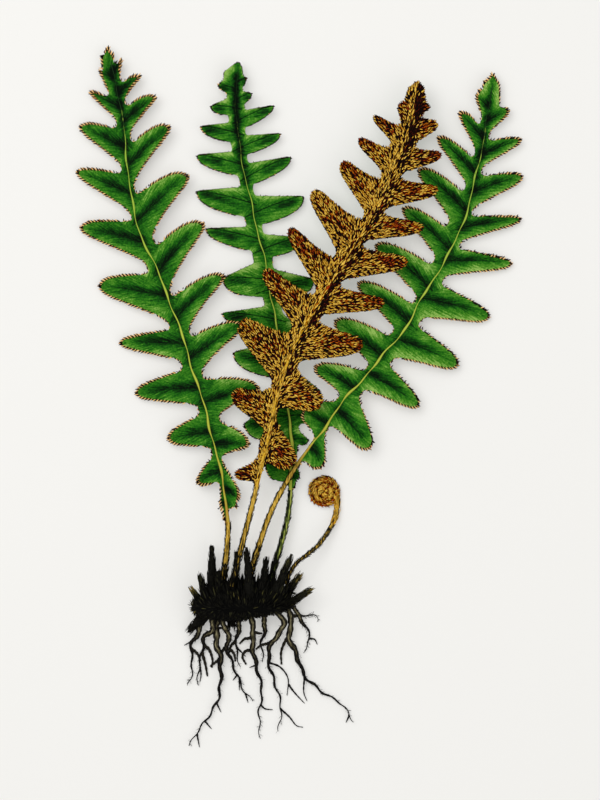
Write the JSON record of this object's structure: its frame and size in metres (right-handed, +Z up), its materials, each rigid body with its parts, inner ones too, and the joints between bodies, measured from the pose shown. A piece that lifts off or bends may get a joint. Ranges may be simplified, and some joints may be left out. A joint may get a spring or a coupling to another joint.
{
  "type": "rustyback fern",
  "caption": "Uprooted rustyback fern laid on its back: lobed green fronds, one turned to show its coat of rusty scales, a coiled crozier, a black scaly rootstock and wiry roots.",
  "frame": {"origin": "middle of the flat spot under the rootstock, on the surface that the plant lies on", "axes": "+Y from the rootstock to the frond tips, +X to the right seen from above, +Z up from the surface"},
  "size_m": [0.112, 0.1761, 0.0116],
  "materials": {
    "leaf_green": "leathery green leaf, satin",
    "rusty_scales": "papery overlapping scales, golden to red brown",
    "stalk_ochre": "ochre stalk with dark flecks",
    "rootstock_black": "near-black fibrous scales",
    "root_brown": "wiry dark brown roots"
  },
  "bodies": {
    "root": {"left_frond_blade": "leaf_green", "left_frond_scales": "rusty_scales", "left_frond_stalk": "stalk_ochre", "back_frond_blade": "leaf_green", "back_frond_scales": "rusty_scales", "back_frond_stalk": "stalk_ochre", "turned_frond_blade": "leaf_green", "turned_frond_scales": "rusty_scales", "turned_frond_stalk": "stalk_ochre", "right_frond_blade": "leaf_green", "right_frond_scales": "rusty_scales", "right_frond_stalk": "stalk_ochre", "crozier": "rusty_scales", "rhizome": "rootstock_black", "root_01": "root_brown", "root_02": "root_brown", "root_03": "root_brown", "root_04": "root_brown", "root_05": "root_brown", "root_06": "root_brown", "root_07": "root_brown", "root_08": "root_brown", "root_09": "root_brown", "root_10": "root_brown", "root_11": "root_brown"}
  },
  "joints": []
}
